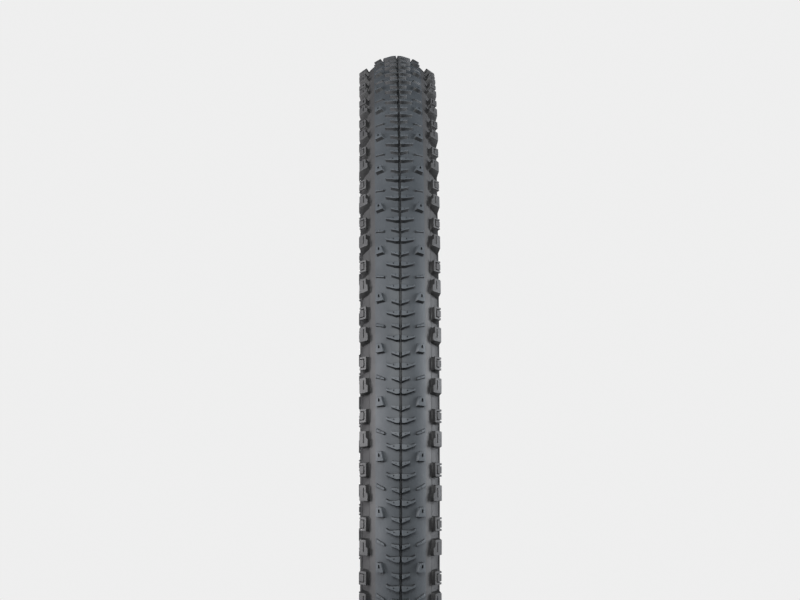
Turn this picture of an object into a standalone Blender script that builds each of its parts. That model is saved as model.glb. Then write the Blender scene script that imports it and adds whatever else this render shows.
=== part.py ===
"""A cross-country mountain bike tyre, section 61 mm, for a 622 mm bead seat.

The wheel's centre is the origin, the axle lies along Y and +Z is up. A cross-section
is drawn in two numbers: y, across the tyre, and r, the distance from the axle. Every
layer of the casing is one closed outline in that plane, turned about the axle. The
rubber of the tread is turned the same way and then joined to its blocks.

The layers follow one meridian: a chain of stations from the crown down the sidewall
to the bead. A station has a point on the inside of the tyre and a direction through
the wall, and each layer lies between two distances along that direction.
"""

import math

import bmesh
import bpy

MM = 0.001

# Driving sizes, in millimetres
BEAD_SEAT_RADIUS = 311.0
SECTION_HEIGHT = 61.0  # bead seat to the tops of the centre blocks
CASING_RADIUS = 25.0  # inside of the casing under the crown, across the section
CASING_SPREAD = 2.1  # further out at the sides, where the section is widest
RIM_INNER_WIDTH = 30.0
PITCHES = 54  # repeats of the tread pattern round the tyre
CASING_FACETS = 27  # flats round each casing layer, half as many as the tread's

# Layers, in millimetres
GAP = 0.3  # between neighbouring pieces
LINER_THICKNESS = 0.4
PLY_THICKNESS = 0.45
BELT_THICKNESS = 0.45
INSERT_THICKNESS = 0.4
SIDEWALL_THICKNESS = 0.7
CHAFER_THICKNESS = 0.4
TREAD_THICKNESS = 1.5  # rubber under the blocks at the crown
CORE_DIAMETER = 2.1  # aramid bundle of the bead

# Tread blocks, in millimetres above the tread's surface
CENTRE_BLOCK_HEIGHT = 2.5
TRANSITION_BLOCK_HEIGHT = 2.8
SHOULDER_BLOCK_HEIGHT = 3.5
SHOULDER_TIP_HEIGHT = 5.8  # at the block's outer corner
BLOCK_ROOT = 1.25  # depth of a block's foot in the rubber below it

# Places of the blocks in one pitch of the pattern, as shares of the pitch
CENTRE_ROWS = (0.19, 0.665)
TALL_ROW = 0.0
SHOULDER_ROWS = (0.333, 0.763)
PATTERN_START = math.radians(-2.4)  # first pitch, from the front of the tyre

# Outlines of the blocks, in millimetres round the tyre and degrees from the crown
CENTRE_HALF_ANGLE = 18.5
BAR_POINT = 2.8  # half a bar's width at the crown
BAR_WING = 0.9  # the leading and trailing edges of its ends
BAR_BACK = 2.2
TALL_HALF_LENGTH = 4.2
TALL_ANGLES = (21.5, 24.5, 32.5)  # inner edge at its two ends, and outer edge
SHOULDER_HALF_LENGTH = 5.8
SHOULDER_ANGLES = (52.2, 60.0, 73.0)  # inner edge, outer corner and foot of the outer face

# Where the strips meet, in degrees round the section from the crown
STATION_ANGLES = (0.0, 20.0, 40.0, 74.0, 97.0, 120.0)
OVERLAP_STATION = 1  # the ply's turned-up ends stop here, past the crown
TREAD_EDGE_STATION = 2  # centre strip meets shoulder strip
SHOULDER_EDGE_STATION = 3  # shoulder strip meets sidewall
WAIST_STATION = 5  # last station on the round part of the casing
BEND_STATION = 6  # over the rim's flange
BEAD_STATION = 7  # top of the bead, inside the rim
FILLER_END = 6.45  # the filler's thin edge, between the bend and the bead
FILLER_SLANT = 1.15  # the filler's faces run at a slant to the wall's directions
SIDEWALL_END = 5.75  # the sidewall rubber stops short of the flange
INSERT_END = 5.55  # the fabric under it stops sooner
CHAFER_END = 5.85  # the chafer's top edge, tucked under that end
BELT_INSET = 0.05  # the belt stops this far short of the strips' joint
LAP_INSET = 0.1  # the ply's short end stops this far before the long one steps over it
JOINT_SHARE = 0.02  # half a joint's width, as a share of the step between two stations

CROWN_RADIUS = BEAD_SEAT_RADIUS + SECTION_HEIGHT
PITCH_LENGTH = math.tau * CROWN_RADIUS / PITCHES

# Layer bounds, as distances through the wall from the inside face
LINER = (0.0, LINER_THICKNESS)
PLY_1 = (LINER[1] + GAP, LINER[1] + GAP + PLY_THICKNESS)
PLY_2 = (PLY_1[1] + GAP, PLY_1[1] + GAP + PLY_THICKNESS)
PLY_3 = (PLY_2[1] + GAP, PLY_2[1] + GAP + PLY_THICKNESS)
BELT_OVER_3 = (PLY_3[1] + GAP, PLY_3[1] + GAP + BELT_THICKNESS)
BELT_OVER_2 = (PLY_2[1] + GAP, PLY_2[1] + GAP + BELT_THICKNESS)
INSERT = (PLY_2[1] + GAP, PLY_2[1] + GAP + INSERT_THICKNESS)
SIDEWALL = (INSERT[1] + GAP, INSERT[1] + GAP + SIDEWALL_THICKNESS)
TREAD = (BELT_OVER_3[1] + GAP, BELT_OVER_3[1] + GAP + TREAD_THICKNESS)
TREAD_EDGE = (BELT_OVER_2[1] + GAP, TREAD[1])  # where the ply is only two layers thick

SECTION_CENTRE = CROWN_RADIUS - CENTRE_BLOCK_HEIGHT - TREAD[1] - CASING_RADIUS
TREAD_SURFACE = CASING_RADIUS + TREAD[1]  # radius of the tread's face in the section

# The bead, from the flank that meets the rim inwards
FLANK = RIM_INNER_WIDTH / 2
WRAP = CHAFER_THICKNESS + GAP + PLY_THICKNESS + GAP  # from the flank to the core
BEAD_WIDTH = 2 * WRAP + CORE_DIAMETER
CORE_Y = FLANK - BEAD_WIDTH / 2
CORE_R = BEAD_SEAT_RADIUS + WRAP + CORE_DIAMETER / 2
PLY_IN_BEAD = CHAFER_THICKNESS + GAP  # the ply's outer face, from the bead's surface

# The bend over the rim's flange and the top of the bead: inside point and direction
BEND_OVERHANG = 2.6  # past the flank
BEND_HEIGHT = 9.8  # above the bead seat
BEAD_HEIGHT = 7.0
BEAD_TAPER = 0.3  # the bead is this much narrower at its top, on the inside
BEND_POINT = (FLANK + BEND_OVERHANG, BEAD_SEAT_RADIUS + BEND_HEIGHT)
BEND_DIRECTION = (0.6, -0.8)
BEAD_POINT = (FLANK - BEAD_WIDTH + BEAD_TAPER, BEAD_SEAT_RADIUS + BEAD_HEIGHT)
BEAD_DIRECTION = (0.89, -0.456)
BEAD_TOP_THICKNESS = 5.1  # through the wall at the top of the bead
CHAFER_TOE_DROP = 1.0  # the chafer's inside edge is this far below the top of the bead
CHAFER_FOLD = 0.1  # where the chafer bends outwards, its inner face is this much higher

# The section's lower half is squeezed or stretched to end over the flange
ROUND_DROP = 18.5  # from the section's centre to the bend, where that half stays round
LOWER_DEPTH = (SECTION_CENTRE - BEND_POINT[1]) / ROUND_DROP

# Flats across the faces of the tread's strips, and round a bead core
CENTRE_FACE_STEPS = 4
SHOULDER_FACE_STEPS = 2
CORE_CORNERS = 6


def clear_scene():
    for obj in list(bpy.data.objects):
        bpy.data.objects.remove(obj)


def station(index):
    """(point, direction) of a whole-numbered station on the right half of the section."""
    if index <= WAIST_STATION:
        angle = math.radians(STATION_ANGLES[index])
        across, up = math.sin(angle), math.cos(angle)
        radius = CASING_RADIUS + CASING_SPREAD * across**4
        if up >= 0:
            return (radius * across, SECTION_CENTRE + radius * up), (across, up)
        steep = math.hypot(across, up / LOWER_DEPTH)
        point = (radius * across, SECTION_CENTRE + LOWER_DEPTH * radius * up)
        return point, (across / steep, up / LOWER_DEPTH / steep)
    if index == BEND_STATION:
        return BEND_POINT, BEND_DIRECTION
    return BEAD_POINT, BEAD_DIRECTION


def through_wall(place, distance):
    """The section's point at a place along the stations, this far through the wall.

    The place may lie between two stations, and is negative on the left half.
    """
    side = -1 if place < 0 else 1
    low = min(int(abs(place)), BEAD_STATION - 1)
    share = abs(place) - low
    ends = []
    for index in (low, low + 1):
        point, direction = station(index)
        ends.append((point[0] + distance * direction[0], point[1] + distance * direction[1]))
    y = ends[0][0] + share * (ends[1][0] - ends[0][0])
    r = ends[0][1] + share * (ends[1][1] - ends[0][1])
    return side * y, r


def places(start, end):
    """start, the whole stations between, and end."""
    whole = range(math.floor(start) + 1, math.ceil(end))
    return [start, *whole, end]


def face(stops):
    """Section points for (place, distance) pairs."""
    return [through_wall(place, distance) for place, distance in stops]


def strip(inner, outer):
    """A closed outline from two faces of a layer that run the same way."""
    return face(inner) + face(outer)[::-1]


def turned(name, outline, facets):
    """A mesh of an outline in (y, r) turned about the axle into a ring."""
    area = sum(a[0] * b[1] - b[0] * a[1] for a, b in zip(outline, outline[1:] + outline[:1]))
    if area > 0:
        outline = outline[::-1]
    mesh = bmesh.new()
    rings = []
    for step in range(facets):
        turn = math.tau * step / facets
        rings.append(
            [
                mesh.verts.new((r * MM * math.cos(turn), y * MM, r * MM * math.sin(turn)))
                for y, r in outline
            ]
        )
    for step in range(facets):
        near, far = rings[step], rings[(step + 1) % facets]
        for i in range(len(outline)):
            j = (i + 1) % len(outline)
            mesh.faces.new((near[i], near[j], far[j], far[i]))
    data = bpy.data.meshes.new(name)
    bmesh.ops.recalc_face_normals(mesh, faces=mesh.faces)
    mesh.to_mesh(data)
    mesh.free()
    return data


def material(name, colour, roughness):
    made = bpy.data.materials.get(name)
    if made is None:
        made = bpy.data.materials.new(name)
        made.use_nodes = True
        shader = made.node_tree.nodes["Principled BSDF"]
        shader.inputs["Base Color"].default_value = (*colour, 1.0)
        shader.inputs["Roughness"].default_value = roughness
        shader.inputs["Metallic"].default_value = 0.0
    return made


def add_piece(name, data, surface):
    obj = bpy.data.objects.new(name, data)
    bpy.context.scene.collection.objects.link(obj)
    data.materials.append(surface)
    return obj


def both_sides(name, outline, facets, surface):
    """The same ring on the left and on the right of the tyre."""
    for label, side in (("left", -1), ("right", 1)):
        mirrored = [(side * y, r) for y, r in outline]
        piece = f"{name}_{label}"
        add_piece(piece, turned(piece, mirrored, facets), surface)


def add_liner(surface):
    stops = [(i, LINER) for i in range(-BEAD_STATION, BEAD_STATION + 1)]
    outline = strip([(i, t[0]) for i, t in stops], [(i, t[1]) for i, t in stops])
    add_piece("inner_liner", turned("inner_liner", outline, CASING_FACETS), surface)


def bead_corners(side, depth):
    """The two lower corners of a wrap round the bead, this deep under its surface."""
    inner_y = side * (FLANK - BEAD_WIDTH + depth)
    outer_y = side * (FLANK - depth)
    r = BEAD_SEAT_RADIUS + depth
    return [(inner_y, r), (outer_y, r)]


def turn_up_stops(side, layer, end_place, end_layer):
    """One turned-up end of the ply, from the bead to where it stops past the crown.

    layer picks the inner or the outer face of the ply.
    """
    at_bead = BEAD_TOP_THICKNESS - CHAFER_THICKNESS - GAP - PLY_THICKNESS * (1 - layer)
    stops = [(side * BEAD_STATION, at_bead), (side * BEND_STATION, PLY_2[layer])]
    stops += [(side * i, PLY_2[layer]) for i in range(WAIST_STATION, OVERLAP_STATION, -1)]
    stops += [(side * OVERLAP_STATION, end_layer[layer]), (0, end_layer[layer])]
    stops.append((-side * end_place, end_layer[layer]))
    return stops


def add_ply(surface):
    """One sheet: bead to bead inside, folded up round both beads, and lapped at the crown."""
    short_end = OVERLAP_STATION - LAP_INSET
    left_inner = face(turn_up_stops(-1, 0, OVERLAP_STATION, PLY_3))
    left_outer = face(turn_up_stops(-1, 1, OVERLAP_STATION, PLY_3))
    right_inner = face(turn_up_stops(1, 0, short_end, PLY_2))
    right_outer = face(turn_up_stops(1, 1, short_end, PLY_2))
    across = range(-BEAD_STATION, BEAD_STATION + 1)
    first_inner = face([(i, PLY_1[0]) for i in across])
    first_outer = face([(i, PLY_1[1]) for i in across])
    deep = PLY_IN_BEAD + PLY_THICKNESS
    outside = (
        left_outer[::-1]
        + bead_corners(-1, PLY_IN_BEAD)[::-1]
        + first_inner
        + bead_corners(1, PLY_IN_BEAD)
        + right_outer
    )
    inside = (
        left_inner[::-1]
        + bead_corners(-1, deep)[::-1]
        + first_outer
        + bead_corners(1, deep)
        + right_inner
    )
    outline = outside + inside[::-1]
    add_piece("casing_ply", turned("casing_ply", outline, CASING_FACETS), surface)


def add_belt(surface):
    edge = TREAD_EDGE_STATION - BELT_INSET
    stops = [(-edge, BELT_OVER_2), (edge, BELT_OVER_2)]
    stops[1:1] = [(place, BELT_OVER_3) for place in (-OVERLAP_STATION, 0, OVERLAP_STATION)]
    outline = strip([(p, t[0]) for p, t in stops], [(p, t[1]) for p, t in stops])
    add_piece("puncture_belt", turned("puncture_belt", outline, CASING_FACETS), surface)


def add_bead_cores(surface):
    radius = CORE_DIAMETER / 2
    outline = []
    for i in range(CORE_CORNERS):
        angle = math.tau * i / CORE_CORNERS
        outline.append((CORE_Y + radius * math.cos(angle), CORE_R + radius * math.sin(angle)))
    both_sides("bead_core", outline, CASING_FACETS, surface)


def wall_y(lower, upper, r):
    """y at height r on the straight line between two section points."""
    share = (r - lower[1]) / (upper[1] - lower[1])
    return lower[0] + share * (upper[0] - lower[0])


def add_bead_fillers(surface):
    """Rubber over the core that fills the wedge between the ply and its turned-up end."""
    deep = PLY_IN_BEAD + PLY_THICKNESS
    inner_corner, outer_corner = bead_corners(1, deep)
    turn_up = dict(turn_up_stops(1, 0, OVERLAP_STATION, PLY_2))
    ply_wall = through_wall(BEAD_STATION, PLY_1[1])
    turn_up_wall = through_wall(BEAD_STATION, turn_up[BEAD_STATION])
    foot_r = CORE_R + CORE_DIAMETER / 2 + GAP
    slant_gap = FILLER_SLANT * GAP
    blunt = FILLER_END - BEND_STATION
    at_end = blunt * turn_up[BEAD_STATION] + (1 - blunt) * PLY_2[0]
    outline = [
        (wall_y(inner_corner, ply_wall, foot_r) + GAP, foot_r),
        (wall_y(outer_corner, turn_up_wall, foot_r) - GAP, foot_r),
        through_wall(BEAD_STATION, turn_up[BEAD_STATION] - slant_gap),
        through_wall(FILLER_END, at_end - slant_gap),
        through_wall(FILLER_END, PLY_1[1] + slant_gap),
        through_wall(BEAD_STATION, PLY_1[1] + slant_gap),
    ]
    both_sides("bead_filler", outline, CASING_FACETS, surface)


def add_chafers(surface):
    """Fabric from the bead's inside, under the toe and heel and up the flank."""
    top_r = BEAD_POINT[1] - CHAFER_TOE_DROP
    inside_top = (FLANK - BEAD_WIDTH, top_r)
    outside_top = (FLANK, through_wall(BEAD_STATION, BEAD_TOP_THICKNESS)[1])
    bend = PLY_2[1] + GAP
    upper = face([(BEND_STATION, bend + CHAFER_THICKNESS), (CHAFER_END, bend + CHAFER_THICKNESS)])
    under = face([(BEND_STATION, bend), (CHAFER_END, bend)])
    thick = CHAFER_THICKNESS
    outside = [inside_top, *bead_corners(1, 0), outside_top, *upper]
    inside = [
        (inside_top[0] + thick, top_r),
        *bead_corners(1, thick),
        (FLANK - thick, outside_top[1] + CHAFER_FOLD),
        *under,
    ]
    both_sides("chafer", outside + inside[::-1], CASING_FACETS, surface)


def add_inserts(surface):
    start = SHOULDER_EDGE_STATION + JOINT_SHARE
    stops = places(start, INSERT_END)
    outline = strip([(p, INSERT[0]) for p in stops], [(p, INSERT[1]) for p in stops])
    both_sides("sidewall_insert", outline, CASING_FACETS, surface)


def add_sidewalls(surface):
    start = SHOULDER_EDGE_STATION + JOINT_SHARE
    stops = places(start, SIDEWALL_END)
    outline = strip([(p, SIDEWALL[0]) for p in stops], [(p, SIDEWALL[1]) for p in stops])
    both_sides("sidewall", outline, CASING_FACETS, surface)


def tread_vertex(mesh, pitch, along, across, radius):
    """A vertex at a distance round the tyre, an angle and a radius across the section."""
    angle = math.radians(across)
    turn = PATTERN_START + math.tau * pitch / PITCHES + along / CROWN_RADIUS
    y = radius * math.sin(angle)
    r = SECTION_CENTRE + radius * math.cos(angle)
    return mesh.verts.new((r * MM * math.cos(turn), y * MM, r * MM * math.sin(turn)))


def block(mesh, pitch, footprint, quads, height):
    """Adds one closed block: footprint corners are (mm round the tyre, degrees across).

    quads names the corners of each four-sided piece of its top and of its foot.
    """
    foot = [tread_vertex(mesh, pitch, *corner, TREAD_SURFACE - BLOCK_ROOT) for corner in footprint]
    top = [tread_vertex(mesh, pitch, *corner, TREAD_SURFACE + height) for corner in footprint]
    for quad in quads:
        mesh.faces.new([foot[i] for i in reversed(quad)])
        mesh.faces.new([top[i] for i in quad])
    for i in range(len(footprint)):
        j = (i + 1) % len(footprint)
        mesh.faces.new((foot[i], foot[j], top[j], top[i]))


def join_blocks(piece, cutter_name, fill):
    """Unites a strip with its blocks, which fill(mesh, pitch) adds for each pitch."""
    mesh = bmesh.new()
    for pitch in range(PITCHES):
        fill(mesh, pitch)
    bmesh.ops.recalc_face_normals(mesh, faces=mesh.faces)
    data = bpy.data.meshes.new(cutter_name)
    mesh.to_mesh(data)
    mesh.free()
    guide = bpy.data.objects.new(cutter_name, data)
    bpy.context.scene.collection.objects.link(guide)
    guide.hide_render = True
    guide.display_type = "WIRE"
    union = piece.modifiers.new("blocks", "BOOLEAN")
    union.operation = "UNION"
    union.solver = "EXACT"
    union.object = guide


def centre_blocks(mesh, pitch):
    """Two V-shaped bars over the crown and a block on each side of them."""
    wing = CENTRE_HALF_ANGLE
    for row in CENTRE_ROWS:
        middle = row * PITCH_LENGTH
        footprint = [
            (middle - BAR_POINT, 0.0),
            (middle - BAR_WING, wing),
            (middle + BAR_BACK, wing),
            (middle + BAR_POINT, 0.0),
            (middle + BAR_BACK, -wing),
            (middle - BAR_WING, -wing),
        ]
        block(mesh, pitch, footprint, ((0, 1, 2, 3), (3, 4, 5, 0)), CENTRE_BLOCK_HEIGHT)
    middle = TALL_ROW * PITCH_LENGTH
    for side in (-1, 1):
        inner, slant, outer = (side * angle for angle in TALL_ANGLES)
        footprint = [
            (middle - TALL_HALF_LENGTH, inner),
            (middle - TALL_HALF_LENGTH, outer),
            (middle + TALL_HALF_LENGTH, outer),
            (middle + TALL_HALF_LENGTH, slant),
        ]
        block(mesh, pitch, footprint, ((0, 1, 2, 3),), TRANSITION_BLOCK_HEIGHT)


def shoulder_blocks(side):
    """The blocks along one shoulder, whose outer faces run down to the sidewall."""
    inner, tip, foot = (side * angle for angle in SHOULDER_ANGLES)
    root = TREAD_SURFACE - BLOCK_ROOT
    profile = (
        (inner, root),
        (inner, TREAD_SURFACE + SHOULDER_BLOCK_HEIGHT),
        (tip, TREAD_SURFACE + SHOULDER_TIP_HEIGHT),
        (foot, root),
    )

    def fill(mesh, pitch):
        for row in SHOULDER_ROWS:
            middle = row * PITCH_LENGTH
            ends = []
            for along in (middle - SHOULDER_HALF_LENGTH, middle + SHOULDER_HALF_LENGTH):
                ends.append([tread_vertex(mesh, pitch, along, *corner) for corner in profile])
            mesh.faces.new(ends[0])
            mesh.faces.new(ends[1][::-1])
            for i in range(len(profile)):
                j = (i + 1) % len(profile)
                mesh.faces.new((ends[0][i], ends[0][j], ends[1][j], ends[1][i]))

    return fill


def tread_face(start, end, steps):
    """Points of the tread's round outer face between two angles from the crown."""
    points = []
    for i in range(steps + 1):
        angle = math.radians(start + (end - start) * i / steps)
        points.append((TREAD_SURFACE * math.sin(angle), SECTION_CENTRE + TREAD_SURFACE * math.cos(angle)))
    return points


def add_tread(centre_rubber, shoulder_rubber):
    edge = TREAD_EDGE_STATION - JOINT_SHARE
    joint = STATION_ANGLES[TREAD_EDGE_STATION]
    half_joint = JOINT_SHARE * (joint - STATION_ANGLES[TREAD_EDGE_STATION - 1])
    under = [(-edge, TREAD_EDGE), (edge, TREAD_EDGE)]
    under[1:1] = [(place, TREAD) for place in (-OVERLAP_STATION, 0, OVERLAP_STATION)]
    upper = tread_face(joint - half_joint, half_joint - joint, CENTRE_FACE_STEPS)
    outline = face([(p, t[0]) for p, t in under]) + upper
    centre = add_piece("tread_centre", turned("tread_centre", outline, PITCHES), centre_rubber)
    join_blocks(centre, "centre_block_guide", centre_blocks)
    stops = places(TREAD_EDGE_STATION + JOINT_SHARE, SHOULDER_EDGE_STATION - JOINT_SHARE)
    last = STATION_ANGLES[SHOULDER_EDGE_STATION] - half_joint
    upper = tread_face(last, joint + half_joint, SHOULDER_FACE_STEPS)
    for label, side in (("left", -1), ("right", 1)):
        name = f"tread_shoulder_{label}"
        right_half = face([(p, INSERT[0]) for p in stops]) + upper
        outline = [(side * y, r) for y, r in right_half]
        shoulder = add_piece(name, turned(name, outline, PITCHES), shoulder_rubber)
        join_blocks(shoulder, f"shoulder_block_guide_{label}", shoulder_blocks(side))


def main():
    clear_scene()
    tread_rubber = material("tread rubber", (0.045, 0.046, 0.050), 0.60)
    shoulder_rubber = material("shoulder rubber", (0.042, 0.043, 0.046), 0.62)
    sidewall_rubber = material("sidewall rubber", (0.035, 0.035, 0.037), 0.50)
    fabric = material("rubberised nylon", (0.030, 0.030, 0.031), 0.70)
    belt_fabric = material("belt fabric", (0.50, 0.40, 0.16), 0.75)
    aramid = material("aramid yarn", (0.62, 0.48, 0.14), 0.65)
    butyl = material("liner rubber", (0.025, 0.025, 0.026), 0.35)
    add_liner(butyl)
    add_ply(fabric)
    add_belt(belt_fabric)
    add_bead_cores(aramid)
    add_bead_fillers(sidewall_rubber)
    add_chafers(fabric)
    add_inserts(belt_fabric)
    add_sidewalls(sidewall_rubber)
    add_tread(tread_rubber, shoulder_rubber)


main()
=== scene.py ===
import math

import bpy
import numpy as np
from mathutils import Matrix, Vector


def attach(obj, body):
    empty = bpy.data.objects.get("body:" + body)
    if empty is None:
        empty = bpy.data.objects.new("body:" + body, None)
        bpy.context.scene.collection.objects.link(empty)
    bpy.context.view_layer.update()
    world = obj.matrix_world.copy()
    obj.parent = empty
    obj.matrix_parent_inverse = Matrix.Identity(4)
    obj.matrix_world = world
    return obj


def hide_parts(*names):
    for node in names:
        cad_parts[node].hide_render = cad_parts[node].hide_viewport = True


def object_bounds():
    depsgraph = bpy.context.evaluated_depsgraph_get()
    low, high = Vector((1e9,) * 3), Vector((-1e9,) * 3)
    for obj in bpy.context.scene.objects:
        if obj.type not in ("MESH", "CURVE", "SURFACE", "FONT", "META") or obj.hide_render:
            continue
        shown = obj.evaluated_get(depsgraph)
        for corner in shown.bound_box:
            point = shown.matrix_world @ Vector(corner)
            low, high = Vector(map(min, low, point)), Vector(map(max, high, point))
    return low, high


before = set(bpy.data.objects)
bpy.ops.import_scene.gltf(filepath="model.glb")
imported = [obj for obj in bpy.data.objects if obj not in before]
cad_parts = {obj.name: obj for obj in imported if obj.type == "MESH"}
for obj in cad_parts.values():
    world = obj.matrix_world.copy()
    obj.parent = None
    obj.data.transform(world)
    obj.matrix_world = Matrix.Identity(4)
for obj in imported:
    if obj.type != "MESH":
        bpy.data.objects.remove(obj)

# A knobbly cross-country tyre, 61 mm wide, for a 622 mm bead seat: its rubber, its
# cloth and its beads, on the wheel's own axes. The axle lies along Y, +Z is up, and the
# tread is seen face on from +X. Lengths are in millimetres until a mesh is made, and
# the stage's are in metres.
#
# Two kinds of surface make it up. A layer of the casing is its own outline, smoothed
# and turned about the axle. A block of the tread is a stack of polygon rings, from its
# foot to its top, laid on the tread's round face and repeated.

MM = 0.001
CAD_BOX = [list(corner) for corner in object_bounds()]

# Driving sizes
CROWN_RADIUS = 372.0  # axle to the tops of the centre blocks, to half a millimetre
PITCHES = 54  # repeats of the tread pattern
PITCH = math.tau / PITCHES
PATTERN_START = math.radians(-2.4)  # a pair of tall blocks stands here
CENTRE_HEIGHT = 2.9  # of the V-shaped bars above the tread's face
RIDGE_HEIGHT = 0.3  # of the moulded line along the crown, above that face
GROOVE_DEPTH = 0.5  # on both sides of it
TREAD_ARC = 30.2  # radius of the tread's face across the section
SECTION_CENTRE = 339.3  # axle to the middle of that arc
STRIP_THICKNESS = 1.2
TREAD_JOINT = 40.0  # degrees from the crown, where centre and shoulder strips meet
SHOULDER_JOINT = 73.6  # where the shoulder strip meets the sidewall
STEP_AT = 27.6  # across, where the shoulder strip steps down between its blocks
SIDEWALL_LINES = (345.4, 344.0, 327.2, 325.8)  # moulded lines, at these distances from the axle
LINE_HALF_WIDTH = 0.35
LINE_TOP = 0.45  # half the width of a line's flat top, as a share of the line's own
LINE_HEIGHT = 0.3

# How finely the surfaces are made
TURNS_PER_PITCH = 3  # flats round a ring, in one pitch
SEGMENTS = PITCHES * TURNS_PER_PITCH
SPAN_POINTS = 4  # for each edge of a layer's outline
BEND = math.radians(50)  # an outline that turns by more than this stays sharp
SHARP = math.radians(48)  # shading stops at a fold sharper than this
ON_PLANE = 0.01  # a point this near to a plane lies on it
BESIDE = 0.1  # a line's normal is measured between points this far before and after


# ---------------------------------------------------------------- surfaces

def section_point(across, height):
    """(y, r) of a point this far along the tread's arc from the crown, this high above it."""
    angle = across / TREAD_ARC
    radius = TREAD_ARC + height
    return radius * np.sin(angle), SECTION_CENTRE + radius * np.cos(angle)


def around_axle(y, r, turn):
    """World points in metres of a section's (y, r) at a turn about the axle from +X."""
    return np.stack([r * np.cos(turn), y + 0 * turn, r * np.sin(turn)], axis=-1) * MM


def mesh_object(name, points, faces, surface, uv=None, tone=None):
    """An object from an array of points and faces, shaded smooth but for its sharp edges.

    uv gives each corner of each face its place, and tone each point its painted light and shade, a factor
    on its colour.
    """
    mesh = bpy.data.meshes.new(name)
    mesh.from_pydata(points.reshape(-1, 3).tolist(), [], faces)
    if uv is not None:
        layer = mesh.uv_layers.new(name="around")
        layer.data.foreach_set("uv", uv.astype(np.float32).ravel())
    if tone is not None:
        attribute = mesh.attributes.new("tone", "FLOAT", "POINT")
        attribute.data.foreach_set("value", tone.astype(np.float32).ravel())
    mesh.validate()
    mesh.shade_smooth()
    mesh.set_sharp_from_angle(angle=SHARP)
    mesh.materials.append(surface)
    obj = bpy.data.objects.new(name, mesh)
    bpy.context.scene.collection.objects.link(obj)
    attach(obj, "root")
    return obj


def outline_of(node):
    """The outline in (y, r) of a ring in the frame, in order, cut at the front of the tyre.

    The triangles' sides that lie on the half plane of +X are walked from end to end.
    """
    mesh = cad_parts[node].data
    points = np.empty(len(mesh.vertices) * 3)
    mesh.vertices.foreach_get("co", points)
    points = np.round(points.reshape(-1, 3) / MM, 3)
    edges = np.empty(len(mesh.edges) * 2, dtype=np.int64)
    mesh.edges.foreach_get("vertices", edges)
    edges = edges.reshape(-1, 2)
    on_plane = (np.abs(points[:, 2]) < ON_PLANE) & (points[:, 0] > 0)
    cut = points[edges[on_plane[edges].all(axis=1)]][:, :, (1, 0)]
    beside = {}
    for a, b in cut:
        beside.setdefault(tuple(a), set()).add(tuple(b))
        beside.setdefault(tuple(b), set()).add(tuple(a))
    chain, last, here = [], None, min(beside)
    while here not in chain:
        chain.append(here)
        last, here = here, next(point for point in beside[here] if point != last)
    outline = np.array(chain)
    return outline if signed_area(outline) < 0 else outline[::-1]


def signed_area(outline):
    """The shoelace sum, which is negative where the outline runs clockwise."""
    ahead = np.roll(outline, -1, axis=0)
    return 0.5 * np.sum(outline[:, 0] * ahead[:, 1] - ahead[:, 0] * outline[:, 1])


def smoothed(outline):
    """A closed outline with its gentle bends rounded, as a cubic curve for each edge.

    A curve starts and ends along the mean of the two edges that meet there, in which the
    shorter one counts for more, or along its own edge where they meet at a sharp bend.
    """
    ahead = np.roll(outline, -1, axis=0) - outline
    behind = np.roll(ahead, 1, axis=0)
    length = np.linalg.norm(ahead, axis=1, keepdims=True)
    length_behind = np.roll(length, 1, axis=0)
    way, way_behind = ahead / length, behind / length_behind
    sharp = (way * way_behind).sum(axis=1, keepdims=True) < math.cos(BEND)
    blend = way * length_behind + way_behind * length
    blend = blend / np.linalg.norm(blend, axis=1, keepdims=True)
    leave = np.where(sharp, way, blend) * length
    arrive = np.roll(np.where(sharp, way_behind, blend), -1, axis=0) * length
    t = (np.arange(SPAN_POINTS) / SPAN_POINTS)[None, :, None]
    start, end = outline[:, None], np.roll(outline, -1, axis=0)[:, None]
    curve = (
        (2 * t**3 - 3 * t**2 + 1) * start
        + (t**3 - 2 * t**2 + t) * leave[:, None]
        + (3 * t**2 - 2 * t**3) * end
        + (t**3 - t**2) * arrive[:, None]
    )
    return curve.reshape(-1, 2)


def with_lines(outline):
    """A sidewall's outline with a raised line where its outer face crosses each line's radius.

    A line is a flat ridge in place of the outline's own points there: four points along
    the face, of which the middle two are moved out along its normal.
    """
    closed = np.concatenate([outline, outline[:1]])
    edge = np.diff(closed, axis=0)
    walked = np.concatenate([[0], np.cumsum(np.linalg.norm(edge, axis=1))])
    outer = edge[:, 1] * np.sign(outline[:, 0].mean()) < 0
    plain, lines = walked[:-1], []
    for radius in SIDEWALL_LINES:
        start, end = closed[:-1, 1] - radius, closed[1:, 1] - radius
        here = np.flatnonzero(outer & (start * end <= 0))[0]
        share = start[here] / (start[here] - end[here])
        middle = walked[here] + share * (walked[here + 1] - walked[here])
        lines.append(middle + LINE_HALF_WIDTH * np.array([-1.0, -LINE_TOP, LINE_TOP, 1.0]))
        plain = plain[np.abs(plain - middle) > LINE_HALF_WIDTH]
    stops = np.concatenate([plain, *lines])
    rises = np.concatenate([0 * plain, np.tile([0, LINE_HEIGHT, LINE_HEIGHT, 0], len(lines))])
    order = np.argsort(stops)
    stops, rises = stops[order], rises[order]

    def at(place):
        return np.column_stack([np.interp(place % walked[-1], walked, axis) for axis in closed.T])

    way = at(stops + BESIDE) - at(stops - BESIDE)
    way = way / np.linalg.norm(way, axis=1, keepdims=True)
    return at(stops) + np.column_stack([-way[:, 1], way[:, 0]]) * rises[:, None]


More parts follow.
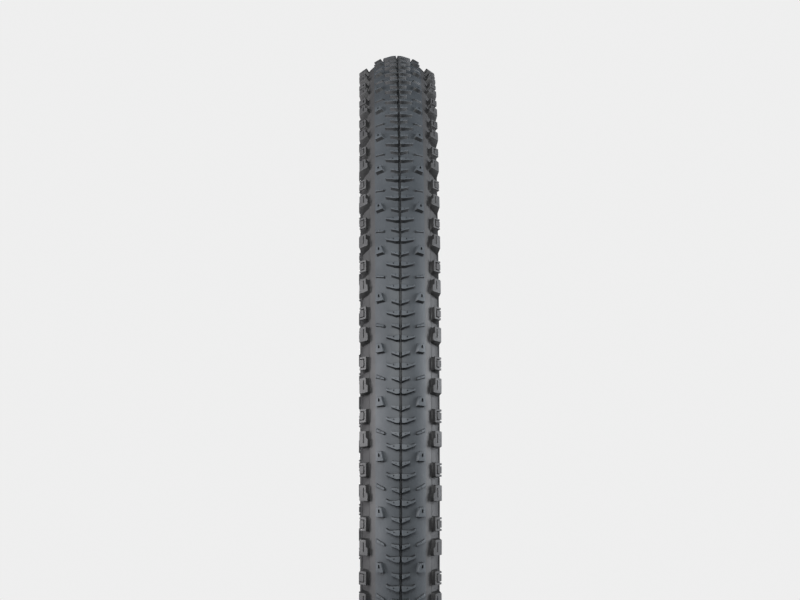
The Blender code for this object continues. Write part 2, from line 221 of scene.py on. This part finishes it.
def ring(name, outline, surface, tone=None):
    """An outline in (y, r), clockwise, turned about the axle: a grid that closes both ways.

    tone gives each point of the outline its painted shade, a factor on its colour. The UV map
    unrolls the grid at its true size: metres round the crown, and metres walked along the outline.
    """
    count = len(outline)
    turn = (math.tau * np.arange(SEGMENTS) / SEGMENTS)[:, None]
    points = around_axle(outline[None, :, 0], outline[None, :, 1], turn)
    step, place = np.meshgrid(np.arange(SEGMENTS), np.arange(count), indexing="ij")
    corners = ((step, place), (step, place + 1), (step + 1, place + 1), (step + 1, place))
    faces = np.stack([(a % SEGMENTS) * count + b % count for a, b in corners], axis=-1).reshape(-1, 4)
    edge = np.roll(outline, -1, axis=0) - outline
    walked = np.concatenate([[0], np.cumsum(np.linalg.norm(edge, axis=1))])
    flat = math.tau * CROWN_RADIUS / SEGMENTS
    uv = np.stack([np.stack([a * flat, walked[b]], axis=-1) for a, b in corners], axis=2)
    if tone is not None:
        tone = np.broadcast_to(tone[None], (SEGMENTS, count))
    return mesh_object(name, points, faces.tolist(), surface, uv=uv * MM, tone=tone)


# ---------------------------------------------------------------- tread blocks

# A ring of a block: how far outside the block's own outline it lies, how high it is, and
# its painted shade, a factor on the rubber's colour: painted shade at the foot and on the
# walls, and a painted highlight on the rim of the top. A foot ring's height is above the
# strip, in which the first one is sunk, and an edge ring's is from the block's top.
FOOT_RINGS = ((0.5, -0.45, 0.50), (0.22, 0.05, 0.50), (0.05, 0.35, 0.45))
EDGE_RINGS = ((-0.03, -0.17, 0.5), (-0.10, -0.03, 1.15), (-0.22, 0.0, 1.2), (-0.60, 0.0, 1.0))
# Painted shade, as factors on the rubber's colour: the walls that face down or up the tread, and the floor
# of a slot, are painted darker, as shade falls there. An edge with a gentle ramp gets none.
PAINTED_UNDERSIDE_SHADE = 0.4  # of the walls that face down the tread
PAINTED_UPPER_SHADE = 0.7  # of the walls that face up it
PAINTED_SLOT_SHADE = 0.25
GENTLE_SLOPE = 0.8  # an edge with a longer ramp than this isn't shaded
FACES_UP = 0.5  # an upper edge faces up the tread by more than this, where 1 is squarely
CORNER_CUT = 0.8
SLOT_CUT = 0.2
CUT_SHARE = 0.4  # the most that a cut takes from an edge, at each end


def moved_edges(corners, distances):
    """A polygon's corners after each edge moves outwards by its own distance.

    Each corner is where two neighbouring moved lines cross.
    """
    edge = np.roll(corners, -1, axis=0) - corners
    edge = edge / np.linalg.norm(edge, axis=1, keepdims=True)
    normal = np.stack([edge[:, 1], -edge[:, 0]], axis=1)
    level = (normal * corners).sum(axis=1) + distances
    before, level_before = np.roll(normal, 1, axis=0), np.roll(level, 1)
    cross = before[:, 0] * normal[:, 1] - before[:, 1] * normal[:, 0]
    along = (level_before * normal[:, 1] - level * before[:, 1]) / cross
    across = (before[:, 0] * level - normal[:, 0] * level_before) / cross
    return np.stack([along, across], axis=1)


def cut_corners(corners, cut):
    """Two points for each corner, at most this far along the edges on both sides of it."""
    ahead = np.roll(corners, -1, axis=0) - corners
    length = np.linalg.norm(ahead, axis=1, keepdims=True)
    cut_ahead = np.minimum(cut, CUT_SHARE * length)
    cut_behind = np.roll(cut_ahead, 1, axis=0)
    behind = np.roll(ahead / length, 1, axis=0)
    pair = np.stack([corners - behind * cut_behind, corners + ahead / length * cut_ahead], axis=1)
    return pair.reshape(-1, 2)


class Block:
    """One kind of block: its outline at the top, its height and the slot in its top.

    corners are (distance down the tread, distance across), anticlockwise seen from
    outside. height is one number, or one for the inner and one for the outer edge, and
    the upper edge is lower than that by fall. slopes gives, edge by edge, how much
    further out the wall's foot is than its top. The slot has as many points as the
    outline. cut is taken off the corners. A block that stands on another one starts at
    the height foot, and a narrow block has no flat ring inside its edge.

    The last four paint light and shade into the colour, as factors: below 1 painted shade,
    above 1 painted light. They are for the walls that face the crown, those that face down
    the tread, the top, and the rim of the upper edge.
    """

    def __init__(
        self,
        corners,
        height,
        slopes,
        slot=None,
        slot_depth=0.0,
        foot=None,
        cut=CORNER_CUT,
        fall=0.0,
        narrow=False,
        painted_inner_shade=1.0,
        painted_under_shade=PAINTED_UNDERSIDE_SHADE,
        painted_top_light=1.0,
        painted_upper_rim_shade=1.0,
    ):
        self.corners = np.array(corners, dtype=float)
        self.height = height if isinstance(height, tuple) else (height, height)
        self.slopes = np.array(slopes, dtype=float)
        self.slot = None if slot is None else np.array(slot, dtype=float)
        self.slot_depth = slot_depth
        self.foot_rings = FOOT_RINGS if foot is None else ((0.0, foot, FOOT_RINGS[-1][2]),)
        self.edge_rings = EDGE_RINGS[:3] if narrow else EDGE_RINGS
        self.cut = cut
        self.fall = fall
        self.painted_inner_shade = painted_inner_shade
        self.painted_under_shade = painted_under_shade
        self.painted_top_light = painted_top_light
        self.painted_upper_rim_shade = painted_upper_rim_shade

    def top_height(self, flat):
        """Height of the top at (down, across) places: straight lines between the edges."""
        low, high = self.corners.min(axis=0), self.corners.max(axis=0)
        down, across = np.clip((flat - low) / (high - low), 0, 1).T
        return self.height[0] + across * (self.height[1] - self.height[0]) - self.fall * (1 - down)

    def painted_edge_shades(self):
        """For each point of a ring: its wall's painted shade, whether that is a ramp, and its rim's painted
        shade.

        A wall's painted shade moves from 1 to that of its side by how squarely it faces that way.
        """
        edge = np.roll(self.corners, -1, axis=0) - self.corners
        faces_in, faces_down = (edge / np.linalg.norm(edge, axis=1, keepdims=True)).T
        painted_wall_shade = 1 + (self.painted_under_shade - 1) * np.clip(faces_down, 0, 1)
        painted_wall_shade += (PAINTED_UPPER_SHADE - 1) * np.clip(-faces_down, 0, 1)
        painted_wall_shade += (self.painted_inner_shade - 1) * np.clip(faces_in, 0, 1)
        ramp = self.slopes > GENTLE_SLOPE
        painted_rim_shade = self.painted_top_light * np.where(-faces_down > FACES_UP, self.painted_upper_rim_shade, 1.0)
        return [np.column_stack([np.roll(part, 1), part]).ravel() for part in (painted_wall_shade, ramp, painted_rim_shade)]

    def rings(self):
        """(rings, points, 4) array of (down, across, height, painted shade), from the foot to the top.

        A ring is the outline with its edges moved out, by the ring's own distance and by
        as much of each slope as is left at its height, and with its corners cut.
        """
        mean = sum(self.height) / 2
        painted_wall_shade, ramp, painted_rim_shade = self.painted_edge_shades()
        feet, last = len(self.foot_rings), len(self.foot_rings + self.edge_rings) - 1
        made = []
        for index, (out, up, tone) in enumerate(self.foot_rings + self.edge_rings):
            from_top = index >= feet
            level = mean + up if from_top else up
            slope = self.slopes * (1 - level / mean)
            flat = cut_corners(moved_edges(self.corners, out + slope), self.cut)
            tall = self.top_height(flat) + up if from_top else np.full(len(flat), up)
            if index <= feet:
                painted_shades = np.where(ramp, 1.0, tone * painted_wall_shade)
            elif index < last:
                painted_shades = tone * painted_rim_shade
            else:
                painted_shades = np.full(len(flat), tone * self.painted_top_light)
            made.append(np.column_stack([flat, tall, painted_shades]))
        # The slot's rim takes the top's painted light, and its floor is painted dark, as shade in a recess.
        if self.slot is not None:
            flat = cut_corners(self.slot, SLOT_CUT)
            tall = self.top_height(flat)
            for depth, tone in ((0.0, self.painted_top_light), (self.slot_depth, PAINTED_SLOT_SHADE)):
                made.append(np.column_stack([flat, tall - depth, np.full(len(flat), tone)]))
        return np.array(made)


def blocks(name, kinds, sides, surface):
    """Every copy of some kinds of block, round the tyre, as closed shells in one mesh.

    kinds are (block, distance down the pitch) pairs. A ring's point is laid on the
    tread's face by its distance across and its height, and turned down about the axle by
    its distance down. A block on the left is the mirror image of the one on the right.
    Each shell is walls between its rings, a floor under the first and a roof on the last.
    """
    points, faces, painted_shades, base = [], [], [], 0
    turn = (PATTERN_START + PITCH * np.arange(PITCHES))[:, None, None]
    for kind, shift in kinds:
        rings = kind.rings()
        levels, count, _ = rings.shape
        for side in sides:
            down, across, up = rings[..., 0] + shift, rings[..., 1], rings[..., 2]
            y, r = section_point(across, up)
            placed = around_axle(side * y[None], r[None], turn - down[None] / CROWN_RADIUS)
            points.append(placed.reshape(-1, 3))
            # Each point's painted light and shade, from its ring
            painted_shades.append(np.broadcast_to(rings[..., 3][None], placed.shape[:-1]).ravel())
            pitch, level, place = np.meshgrid(
                np.arange(PITCHES), np.arange(levels - 1), np.arange(count), indexing="ij"
            )
            first = base + (pitch * levels + level) * count
            onward = (place + 1) % count
            walls = np.stack(
                [first + place, first + onward, first + count + onward, first + count + place], axis=-1
            ).reshape(-1, 4)
            start = base + np.arange(PITCHES)[:, None] * levels * count
            floor = start + np.arange(count)[::-1]
            roof = start + (levels - 1) * count + np.arange(count)
            for group in (walls, floor, roof):
                faces += (group if side > 0 else group[:, ::-1]).tolist()
            base += PITCHES * levels * count
    return mesh_object(name, np.concatenate(points), faces, surface, tone=np.concatenate(painted_shades))


# The blocks of one pitch, on the right. Distances down are from about the middle of the
# tall block, and distances across are from the crown.
BAR_REPEAT = 20.5  # from the first pair of V-shaped bars down to the second
# Painted light and shade: the bars' inner walls and upper rims are painted darker and their tops lighter;
# the shoulder blocks' tops and undersides are painted lighter.
BAR_PAINTED_SHADES = {"painted_inner_shade": 0.4, "painted_top_light": 1.3, "painted_upper_rim_shade": 0.4}
SHOULDER_PAINTED_SHADES = {"painted_under_shade": 1.2, "painted_top_light": 1.3}
SHOULDER_TOP = 31.9  # across, to the outer corner
SHOULDER_FLARE = 8.0  # the outer face's foot is this much further round the section
UNDERCUT = -1.0  # the inner face leans over by this much, which sets it square to the axle

NARROW_BAR = Block(
    [(4.7, 1.0), (7.5, 1.0), (8.5, 0.5), (5.8, 6.6), (3.8, 6.6)],
    CENTRE_HEIGHT,
    slopes=[0.0, 0.2, 0.35, 0.2, 0.1],
    slot=[(5.6, 3.0), (6.1, 3.0), (6.3, 3.4), (6.1, 3.8), (5.6, 3.8)],
    slot_depth=0.8,
    cut=0.35,
    fall=0.5,
    **BAR_PAINTED_SHADES,
)
WIDE_BAR = Block(
    [(13.6, 0.75), (18.2, 0.75), (18.2, 3.4), (15.1, 10.6), (12.8, 10.9), (14.2, 8.4)],
    CENTRE_HEIGHT,
    slopes=[0.1, 0.35, 0.35, 0.2, 0.1, 0.1],
    slot=[(15.0, 4.5), (16.0, 4.5), (16.2, 4.9), (16.0, 5.3), (15.0, 5.3), (14.9, 4.9)],
    slot_depth=1.3,
    cut=0.5,
    fall=0.6,
    **BAR_PAINTED_SHADES,
)
TALL_BLOCK = Block(
    [(-3.6, 14.4), (4.0, 12.6), (4.0, 18.6), (-3.6, 18.2)],
    3.0,
    slopes=[0.5, 0.35, 0.3, 0.1],
    slot=[(-2.0, 15.7), (0.8, 15.2), (0.8, 16.8), (-2.0, 16.8)],
    slot_depth=1.5,
    cut=0.5,
    fall=0.3,
    # Painted light on the inner wall and the top, and painted shade along the upper rim
    painted_inner_shade=2.4,
    painted_top_light=1.2,
    painted_upper_rim_shade=0.5,
)
FLAT_BLOCK = Block(
    [(24.7, 12.6), (26.5, 12.2), (23.9, 19.4), (21.6, 19.0)],
    1.6,
    slopes=[0.2, 0.3, 0.9, 0.1],
    slot=[(24.0, 15.4), (24.6, 15.4), (24.3, 16.2), (23.7, 16.2)],
    slot_depth=0.6,
    cut=0.5,
    fall=0.7,
    # Painted light on the top, and painted shade along the upper rim
    painted_top_light=1.15,
    painted_upper_rim_shade=0.6,
)
# The square shoulder block: its base, a frame on that with an open outer side, and an
# island inside the frame
FRAME_FOOT = 1.8  # height at which the frame and the island start, inside the base
SQUARE_BASE = Block(
    [(4.6, 27.4), (15.9, 27.4), (15.9, SHOULDER_TOP), (4.6, SHOULDER_TOP)],
    (2.6, 4.6),
    slopes=[0.6 * UNDERCUT, 0.2, 0.7 * SHOULDER_FLARE, 0.2],
    # A lighter painted shade on the walls that face down the tread
    painted_under_shade=1.2,
)
SQUARE_FRAME = Block(
    [
        (4.75, 27.3), (15.75, 27.3), (15.75, SHOULDER_TOP), (14.0, SHOULDER_TOP),
        (14.0, 28.4), (6.5, 28.4), (6.5, SHOULDER_TOP), (4.75, SHOULDER_TOP),
    ],
    (3.7, 6.2),
    slopes=[0.3 * UNDERCUT, 0, 0.2 * SHOULDER_FLARE, 0, 0, 0, 0.2 * SHOULDER_FLARE, 0],
    foot=FRAME_FOOT,
    cut=0.2,
    narrow=True,
    **SHOULDER_PAINTED_SHADES,
)
SQUARE_ISLAND = Block(
    [(7.3, 29.1), (13.2, 29.1), (13.2, SHOULDER_TOP), (7.3, SHOULDER_TOP)],
    (4.6, 6.2),
    slopes=[0, 0, 0.2 * SHOULDER_FLARE, 0],
    foot=FRAME_FOOT,
    cut=0.25,
    **SHOULDER_PAINTED_SHADES,
)
STEPPED_BLOCK = Block(
    [(22.6, 27.0), (28.4, 27.0), (29.0, 25.6), (35.1, 25.6), (35.1, SHOULDER_TOP), (22.6, SHOULDER_TOP)],
    (3.6, 6.2),
    slopes=[UNDERCUT, UNDERCUT, UNDERCUT, 0.2, SHOULDER_FLARE, 0.2],
    slot=[(24.6, 28.3), (28.4, 28.3), (29.4, 28.3), (32.4, 28.3), (32.4, 29.1), (24.6, 29.1)],
    slot_depth=2.0,
    cut=0.5,
    **SHOULDER_PAINTED_SHADES,
)


# ---------------------------------------------------------------- materials

RUBBER_SPECULAR = 0.27  # where plain plastic has 0.5
COARSE_GRAIN = 0.08  # depth in millimetres
FINE_GRAIN = 0.06
WAVE_RADIANS = 20.0  # that a wave texture of scale 1 turns by in one metre


class Nodes:
    """The nodes of one material: each call adds one and gives its output."""

    def __init__(self, name):
        self.surface = bpy.data.materials.new(name)
        self.surface.use_nodes = True
        self.tree = self.surface.node_tree
        self.shader = self.tree.nodes["Principled BSDF"]

    def add(self, kind, inputs=None, **settings):
        """A node. An input is a value or another node's output, and settings are its own."""
        node = self.tree.nodes.new(kind)
        for key, value in settings.items():
            setattr(node, key, value)
        for key, value in (inputs or {}).items():
            if isinstance(value, bpy.types.NodeSocket):
                self.tree.links.new(value, node.inputs[key])
            else:
                node.inputs[key].default_value = value
        return node

    def noise(self, where, scale, detail=2.0, rough=0.5):
        inputs = {"Vector": where, "Scale": scale, "Detail": detail, "Roughness": rough}
        return self.add("ShaderNodeTexNoise", inputs).outputs["Fac"]

    def ramp(self, value, low, high, to_low=0.0, to_high=1.0):
        inputs = {"Value": value, "From Min": low, "From Max": high, "To Min": to_low, "To Max": to_high}
        return self.add("ShaderNodeMapRange", inputs).outputs["Result"]

    def maths(self, operation, *values):
        return self.add("ShaderNodeMath", dict(enumerate(values)), operation=operation).outputs["Value"]

    def colours(self, factor, first, second):
        """A mix of two colours, which are sockets 6 and 7 of the node, and 2 of its outputs."""
        inputs = {"Factor": factor, 6: (*first, 1.0), 7: (*second, 1.0)}
        return self.add("ShaderNodeMix", inputs, data_type="RGBA").outputs[2]

    def bump(self, height, depth, under=None):
        """A bump this many millimetres deep, on top of the one under it."""
        inputs = {"Height": height, "Distance": depth * MM, "Strength": 1.0}
        if under is not None:
            inputs["Normal"] = under
        return self.add("ShaderNodeBump", inputs).outputs["Normal"]

    def link(self, value, socket):
        self.tree.links.new(value, self.shader.inputs[socket])


def rubber(name, dark, light, rough, grain=1.0, with_painted_shade=False):
    """Moulded rubber: cloudy colour, a grain of two sizes, and patches more or less matt.

    rough is the lowest and the highest roughness. grain scales the depth of the texture.
    A shaded rubber has light and shade painted into its colour, by each point's tone.
    """
    made = Nodes(name)
    place = made.add("ShaderNodeTexCoord").outputs["Object"]
    clouds = made.noise(place, scale=28.0, detail=5.0, rough=0.6)
    tint = made.colours(made.ramp(clouds, 0.35, 0.68), dark, light)
    # Painted light and shade: the colour is scaled by each point's tone
    if with_painted_shade:
        tone = made.add("ShaderNodeAttribute", attribute_name="tone").outputs["Fac"]
        scaled = made.add("ShaderNodeVectorMath", {0: tint, "Scale": tone}, operation="SCALE")
        tint = scaled.outputs["Vector"]
    made.link(tint, "Base Color")
    patches = made.noise(place, scale=90.0, detail=3.0)
    made.link(made.ramp(patches, 0.3, 0.7, *rough), "Roughness")
    coarse = made.bump(made.noise(place, scale=700.0), COARSE_GRAIN * grain)
    fine = made.bump(made.noise(place, scale=2600.0), FINE_GRAIN * grain, under=coarse)
    made.link(fine, "Normal")
    made.shader.inputs["Specular IOR Level"].default_value = RUBBER_SPECULAR
    return made.surface


def cord_cloth(name, dark, light, rough, width, depth):
    """Rubbered cloth: two sets of cords that cross, at 45 degrees to the tyre's own way round.

    A cord and the gap beside it are each this many millimetres wide, on the UV map, and
    rough is the lowest and the highest roughness.
    """
    made = Nodes(name)
    flat = made.add("ShaderNodeUVMap", uv_map="around").outputs["UV"]
    place = made.add("ShaderNodeTexCoord").outputs["Object"]
    heights = []
    for turn in (math.radians(45), math.radians(-45)):
        turned = made.add("ShaderNodeMapping", {"Vector": flat, "Rotation": (0, 0, turn)})
        inputs = {"Vector": turned.outputs["Vector"], "Scale": math.pi / (width * MM * WAVE_RADIANS)}
        wave = made.add("ShaderNodeTexWave", inputs, wave_type="BANDS", bands_direction="X")
        heights.append(wave.outputs["Fac"])
    weave = made.maths("MAXIMUM", *heights)
    clouds = made.noise(place, scale=40.0, detail=4.0)
    tone = made.maths("MULTIPLY", weave, made.ramp(clouds, 0.3, 0.7, 0.4, 1.0))
    made.link(made.colours(tone, dark, light), "Base Color")
    made.link(made.ramp(clouds, 0.3, 0.7, *rough), "Roughness")
    made.link(made.bump(weave, depth), "Normal")
    return made.surface


# The tread and shoulder rubbers carry painted light and shade in their colour
TREAD_RUBBER = rubber(
    "tread rubber", (0.026, 0.030, 0.034), (0.040, 0.045, 0.050), (0.50, 0.60), with_painted_shade=True
)
SHOULDER_RUBBER = rubber(
    "shoulder rubber", (0.029, 0.029, 0.030), (0.041, 0.041, 0.042), (0.50, 0.60), grain=1.3, with_painted_shade=True
)
SIDEWALL_RUBBER = rubber("sidewall rubber", (0.020, 0.020, 0.021), (0.028, 0.028, 0.029), (0.40, 0.50))
FILLER_RUBBER = rubber("bead rubber", (0.018, 0.018, 0.018), (0.024, 0.024, 0.024), (0.50, 0.60))
LINER_RUBBER = rubber(
    "liner rubber", (0.018, 0.018, 0.019), (0.026, 0.026, 0.027), (0.30, 0.42), grain=0.6
)
CASING_CLOTH = cord_cloth(
    "rubberised nylon", (0.018, 0.018, 0.018), (0.06, 0.06, 0.06), (0.50, 0.65), width=0.9, depth=0.12
)
CHAFER_CLOTH = cord_cloth(
    "chafer cloth", (0.016, 0.016, 0.016), (0.04, 0.04, 0.04), (0.50, 0.62), width=0.8, depth=0.10
)
BELT_CLOTH = cord_cloth(
    "belt cloth", (0.30, 0.22, 0.07), (0.55, 0.43, 0.17), (0.55, 0.70), width=0.7, depth=0.10
)
ARAMID = cord_cloth(
    "aramid yarn", (0.38, 0.28, 0.07), (0.66, 0.50, 0.15), (0.50, 0.65), width=0.6, depth=0.15
)


# ---------------------------------------------------------------- pieces

# One half of the fine line along the crown, which stands in a groove: how far across each
# point is, its height above the tread's face, and its painted shade, darkest in the groove.
CROWN_LINE = (
    (0.0, RIDGE_HEIGHT, 0.45),
    (0.16, RIDGE_HEIGHT, 0.35),
    (0.32, -GROOVE_DEPTH, 0.12),
    (0.6, -GROOVE_DEPTH, 0.12),
    (0.85, 0.0, 0.3),
    (1.2, 0.0, 0.9),
)
FACE_START = 2.0  # across, where the plain face starts
FACE_POINTS = 14
SHOULDER_POINTS = (5, 6)  # of the shoulder's face, before its step and after it
# The step in the shoulder strip: how far across from STEP_AT each point is, and how deep
STEP = ((-0.8, 0.0), (-0.3, 0.04), (0.0, 0.12), (0.25, 0.32), (0.8, 0.5), (1.8, 0.55))
STEP_MARGINS = (1.4, 3.5)  # from STEP_AT to the even points before it and after it


def strip_outline(across, heights):
    """A strip of tread: its outer face through these points, then its inner arc back.

    across are distances along the tread's arc, and heights are above that arc. The
    outline runs clockwise.
    """
    across, heights = np.array(across), np.array(heights)
    outer = np.column_stack(section_point(across, heights))
    inner = np.column_stack(section_point(across[::-1], np.full(len(across), -STRIP_THICKNESS)))
    outline = np.concatenate([outer, inner])
    return outline if signed_area(outline) < 0 else outline[::-1]


def centre_outline():
    """A round face with a fine line along the crown, and the painted shade of each point.

    The painted shades read the same from both ends, so the inner arc, which runs back, takes
    them in the same order.
    """
    plain = np.linspace(FACE_START, math.radians(TREAD_JOINT) * TREAD_ARC, FACE_POINTS)
    half = np.concatenate([CROWN_LINE, np.column_stack([plain, 0 * plain, 0 * plain + 1])])
    across, heights, tone = np.concatenate([half[:0:-1] * (-1, 1, 1), half]).T
    return strip_outline(across, heights), np.concatenate([tone, tone])


def shoulder_outline(side):
    """A round face that steps down between the shoulder blocks, and rises again to its edge."""
    start, end = (math.radians(angle) * TREAD_ARC for angle in (TREAD_JOINT, SHOULDER_JOINT))
    step, depth = np.array(STEP).T
    before = np.linspace(start, STEP_AT - STEP_MARGINS[0], SHOULDER_POINTS[0])
    after = np.linspace(STEP_AT + STEP_MARGINS[1], end, SHOULDER_POINTS[1])
    across = np.concatenate([before, STEP_AT + step, after])
    heights = np.concatenate([0 * before, -depth, np.linspace(-depth[-1], 0.0, len(after))])
    return strip_outline(side * across, heights)


def make_tread():
    """The strips and the blocks that stand on them: three pieces in the middle, two a side."""
    outline, tone = centre_outline()
    centre = ring("tread_centre_strip", outline, TREAD_RUBBER, tone)
    bars = blocks(
        "centre_bars",
        [(kind, shift) for kind in (NARROW_BAR, WIDE_BAR) for shift in (0.0, BAR_REPEAT)],
        (1, -1),
        TREAD_RUBBER,
    )
    transitions = blocks("transition_blocks", [(TALL_BLOCK, 0.0), (FLAT_BLOCK, 0.0)], (1, -1), TREAD_RUBBER)
    for piece in (centre, bars, transitions):
        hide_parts("tread_centre")
    for label, side in (("left", -1), ("right", 1)):
        outline = shoulder_outline(side)
        strip = ring(f"tread_shoulder_strip_{label}", outline, SHOULDER_RUBBER, np.ones(len(outline)))
        kinds = [(kind, 0.0) for kind in (SQUARE_BASE, SQUARE_FRAME, SQUARE_ISLAND, STEPPED_BLOCK)]
        knobs = blocks(f"shoulder_blocks_{label}", kinds, (side,), SHOULDER_RUBBER)
        for piece in (strip, knobs):
            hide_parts(f"tread_shoulder_{label}")


# Each layer's node in the frame, its slot and its surface
SINGLE_LAYERS = (
    ("inner_liner", "liner_rubber", LINER_RUBBER),
    ("casing_ply", "casing_fabric", CASING_CLOTH),
    ("puncture_belt", "belt_fabric", BELT_CLOTH),
)
PAIRED_LAYERS = (
    ("bead_core", "bead_aramid", ARAMID),
    ("bead_filler", "filler_rubber", FILLER_RUBBER),
    ("chafer", "chafer_fabric", CHAFER_CLOTH),
    ("sidewall_insert", "insert_fabric", CASING_CLOTH),
    ("sidewall", "sidewall_rubber", SIDEWALL_RUBBER),
)


def make_layer(node, surface, lined=False):
    """One layer under or beside the tread, from its own outline in the frame."""
    outline = smoothed(outline_of(node))
    piece = ring(f"round_{node}", with_lines(outline) if lined else outline, surface)
    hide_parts(node)


def make_layers():
    """Every layer, of which the paired ones have a left and a right."""
    for node, slot, surface in SINGLE_LAYERS:
        make_layer(node, surface)
    for label, slot, surface in PAIRED_LAYERS:
        for side in ("left", "right"):
            make_layer(f"{label}_{side}", surface, lined=label == "sidewall")


# ---------------------------------------------------------------- stage

BACKDROP = (0.86, 0.86, 0.86, 1)
AMBIENT = (0.80, 0.85, 0.95, 1)
AMBIENT_STRENGTH = 0.06
FLOOR_REACH = 6.0  # metres from the axle to its sides
FLOOR_DARK, FLOOR_LIGHT = (0.26, 0.26, 0.26), (0.30, 0.30, 0.30)
FLOOR_ROUGHNESS = 0.7
FLOOR_SWEEP = (0.7, 3.2)  # metres from the axle, over which the floor fades into the backdrop
LIGHT_DISTANCE = 3.2
LIGHT_AIM = (CROWN_RADIUS * MM, 0, 0.1)
LIGHT_SPREAD = math.radians(110)  # keeps the light off the floor nearby
# Name, azimuth and elevation in degrees, width and height, power in watts, colour
LIGHTS = (
    ("key", -9, 31, (1.6, 1.2), 46, (0.99, 1.0, 1.0)),
    ("top", -8, 52, (1.0, 1.0), 5, (0.98, 1.0, 1.0)),
    ("left box", -68, 11, (1.2, 2.0), 57, (1.0, 0.98, 1.0)),
    ("right box", 86, 14, (1.2, 2.0), 73, (0.93, 0.96, 1.0)),
    ("back", 180, 3, (0.6, 0.8), 16, (1.0, 1.0, 1.0)),
)
CAMERA_DISTANCE = 3.488  # from the axle
CAMERA_YAW = math.radians(-0.55)
CAMERA_LIFT = math.radians(2.695)  # tilted up
CAMERA_ASIDE = -0.0002  # radians it turns past the crown, which is then just right of the middle
LENS = 183.3
SENSOR = 36.0


def make_camera():
    """A long lens in front of the tread, level with the axle, tilted up a little."""
    data = bpy.data.cameras.new("camera")
    data.lens = LENS
    data.sensor_width = SENSOR
    camera = bpy.data.objects.new("camera", data)
    bpy.context.scene.collection.objects.link(camera)
    at = Vector((math.cos(CAMERA_YAW), math.sin(CAMERA_YAW), 0)) * CAMERA_DISTANCE
    front = Vector((CROWN_RADIUS * MM, 0, 0))
    way = (front - at).normalized()
    level = Vector((way.x, way.y + CAMERA_ASIDE, 0)).normalized()
    way = level * math.cos(CAMERA_LIFT) + Vector((0, 0, math.sin(CAMERA_LIFT)))
    camera.rotation_euler = way.to_track_quat("-Z", "Y").to_euler()
    camera.location = at
    bpy.context.scene.camera = camera


def area_light(name, place, size, power, colour):
    """A soft rectangle of light, turned to the tyre, which the camera doesn't see."""
    data = bpy.data.lights.new(name, "AREA")
    data.shape = "RECTANGLE"
    data.size, data.size_y = size
    data.energy = power
    data.color = colour
    data.spread = LIGHT_SPREAD
    light = bpy.data.objects.new(name, data)
    light.visible_camera = False
    light.location = place
    light.rotation_euler = (Vector(LIGHT_AIM) - place).to_track_quat("-Z", "Y").to_euler()
    bpy.context.scene.collection.objects.link(light)


def seen_by_camera(tree):
    """1 for what the camera sees directly, and 0 for light on its way to another surface."""
    return tree.nodes.new("ShaderNodeLightPath").outputs["Is Camera Ray"]


def make_world():
    """A pale studio: the backdrop is brighter than the light that it gives."""
    world = bpy.data.worlds.new("studio")
    world.use_nodes = True
    tree = world.node_tree
    glow = tree.nodes["Background"]
    glow.inputs["Color"].default_value = AMBIENT
    glow.inputs["Strength"].default_value = AMBIENT_STRENGTH
    backdrop = tree.nodes.new("ShaderNodeBackground")
    backdrop.inputs["Color"].default_value = BACKDROP
    mix = tree.nodes.new("ShaderNodeMixShader")
    tree.links.new(seen_by_camera(tree), mix.inputs["Fac"])
    tree.links.new(glow.outputs["Background"], mix.inputs[1])
    tree.links.new(backdrop.outputs["Background"], mix.inputs[2])
    tree.links.new(mix.outputs["Shader"], tree.nodes["World Output"].inputs["Surface"])
    bpy.context.scene.world = world
    bpy.context.scene.view_settings.view_transform = "Standard"


def around(azimuth, elevation):
    """A light's place: degrees to the right of the tread's front, and degrees up."""
    side, up = math.radians(azimuth), math.radians(elevation)
    flat = math.cos(up) * LIGHT_DISTANCE
    return Vector((flat * math.cos(side), flat * math.sin(side), math.sin(up) * LIGHT_DISTANCE))


def pale_floor():
    """A cloudy grey that the camera sees fade into the backdrop, further from the axle."""
    made = Nodes("pale floor")
    place = made.add("ShaderNodeTexCoord").outputs["Object"]
    tone = made.ramp(made.noise(place, scale=3.0), 0.3, 0.7)
    made.link(made.colours(tone, FLOOR_DARK, FLOOR_LIGHT), "Base Color")
    made.shader.inputs["Roughness"].default_value = FLOOR_ROUGHNESS
    away = made.add("ShaderNodeVectorMath", {0: place}, operation="LENGTH").outputs["Value"]
    sweep = made.maths("MULTIPLY", made.ramp(away, *FLOOR_SWEEP), seen_by_camera(made.tree))
    glow = made.add("ShaderNodeEmission", {"Color": BACKDROP}).outputs["Emission"]
    both = made.add("ShaderNodeMixShader", {"Fac": sweep, 1: made.shader.outputs["BSDF"], 2: glow})
    made.tree.links.new(both.outputs["Shader"], made.tree.nodes["Material Output"].inputs["Surface"])
    return made.surface


def make_floor():
    """A square that the tyre stands on."""
    low = CAD_BOX[0][2]
    signs = ((-1, -1), (1, -1), (1, 1), (-1, 1))
    mesh = bpy.data.meshes.new("floor")
    mesh.from_pydata([(x * FLOOR_REACH, y * FLOOR_REACH, low) for x, y in signs], [], [(0, 1, 2, 3)])
    mesh.materials.append(pale_floor())
    floor = bpy.data.objects.new("floor", mesh)
    bpy.context.scene.collection.objects.link(floor)


def make_stage():
    make_world()
    for name, azimuth, elevation, size, power, colour in LIGHTS:
        area_light(name, around(azimuth, elevation), size, power, colour)
    make_floor()


make_camera()
make_stage()
make_tread()
make_layers()
